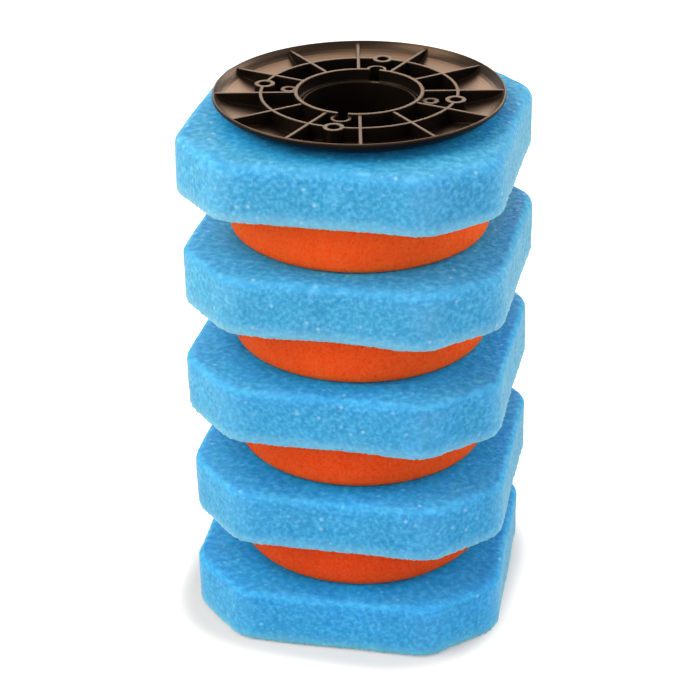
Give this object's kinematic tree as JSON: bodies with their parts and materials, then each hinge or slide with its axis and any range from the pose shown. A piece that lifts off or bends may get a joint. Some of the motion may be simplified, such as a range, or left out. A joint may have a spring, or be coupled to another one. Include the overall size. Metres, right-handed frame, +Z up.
{
  "type": "sponge filter",
  "caption": "Pond filter cartridge: square foam blocks with cut corners and round foam spacers stacked on a slotted tube, squeezed for washing by a ribbed round plate that slides down the tube.",
  "frame": {"origin": "on the floor, on the core tube's axis, under the lowest foam block", "axes": "+Z up along the core tube; the two guide ribs of the tube lie along +Y and -Y"},
  "size_m": [0.2788, 0.2788, 0.4665],
  "materials": {
    "blue_foam": "open-cell reticulated foam",
    "orange_foam": "fine-pored reticulated foam",
    "dark_plastic": "satin moulded plastic",
    "screw_steel": "stainless"
  },
  "bodies": {
    "core": {"core_tube": "dark_plastic", "base_plate": "dark_plastic", "base_screws": "screw_steel", "foam_block_1": "blue_foam"},
    "plate": {"pressure_plate": "dark_plastic"},
    "spacer_1": {"foam_spacer_1": "orange_foam"},
    "block_2": {"foam_block_2": "blue_foam"},
    "spacer_2": {"foam_spacer_2": "orange_foam"},
    "block_3": {"foam_block_3": "blue_foam"},
    "spacer_3": {"foam_spacer_3": "orange_foam"},
    "block_4": {"foam_block_4": "blue_foam"},
    "spacer_4": {"foam_spacer_4": "orange_foam"},
    "block_5": {"foam_block_5": "blue_foam"}
  },
  "joints": [
    {"name": "squeeze", "type": "slide", "parent": "core", "child": "plate", "axis": [0, 0, -1], "range_m": [0, 0.15], "stiffness_N_per_m": 700, "springref_m": -0.03, "deforming": ["foam_block_1", "foam_spacer_1", "foam_block_2", "foam_spacer_2", "foam_block_3", "foam_spacer_3", "foam_block_4", "foam_spacer_4", "foam_block_5"]},
    {"name": "spacer_1_follow", "type": "slide", "parent": "core", "child": "spacer_1", "axis": [0, 0, -1], "range_m": [0, 0.0251]},
    {"name": "block_2_follow", "type": "slide", "parent": "core", "child": "block_2", "axis": [0, 0, -1], "range_m": [0, 0.0418]},
    {"name": "spacer_2_follow", "type": "slide", "parent": "core", "child": "spacer_2", "axis": [0, 0, -1], "range_m": [0, 0.0584]},
    {"name": "block_3_follow", "type": "slide", "parent": "core", "child": "block_3", "axis": [0, 0, -1], "range_m": [0, 0.0751]},
    {"name": "spacer_3_follow", "type": "slide", "parent": "core", "child": "spacer_3", "axis": [0, 0, -1], "range_m": [0, 0.0918]},
    {"name": "block_4_follow", "type": "slide", "parent": "core", "child": "block_4", "axis": [0, 0, -1], "range_m": [0, 0.1084]},
    {"name": "spacer_4_follow", "type": "slide", "parent": "core", "child": "spacer_4", "axis": [0, 0, -1], "range_m": [0, 0.1251]},
    {"name": "block_5_follow", "type": "slide", "parent": "core", "child": "block_5", "axis": [0, 0, -1], "range_m": [0, 0.1418]}
  ],
  "couplings": [
    {"joint": "spacer_1_follow", "follows": "squeeze", "ratio": 0.16667},
    {"joint": "block_2_follow", "follows": "squeeze", "ratio": 0.27778},
    {"joint": "spacer_2_follow", "follows": "squeeze", "ratio": 0.38889},
    {"joint": "block_3_follow", "follows": "squeeze", "ratio": 0.5},
    {"joint": "spacer_3_follow", "follows": "squeeze", "ratio": 0.61111},
    {"joint": "block_4_follow", "follows": "squeeze", "ratio": 0.72222},
    {"joint": "spacer_4_follow", "follows": "squeeze", "ratio": 0.83333},
    {"joint": "block_5_follow", "follows": "squeeze", "ratio": 0.94444}
  ]
}
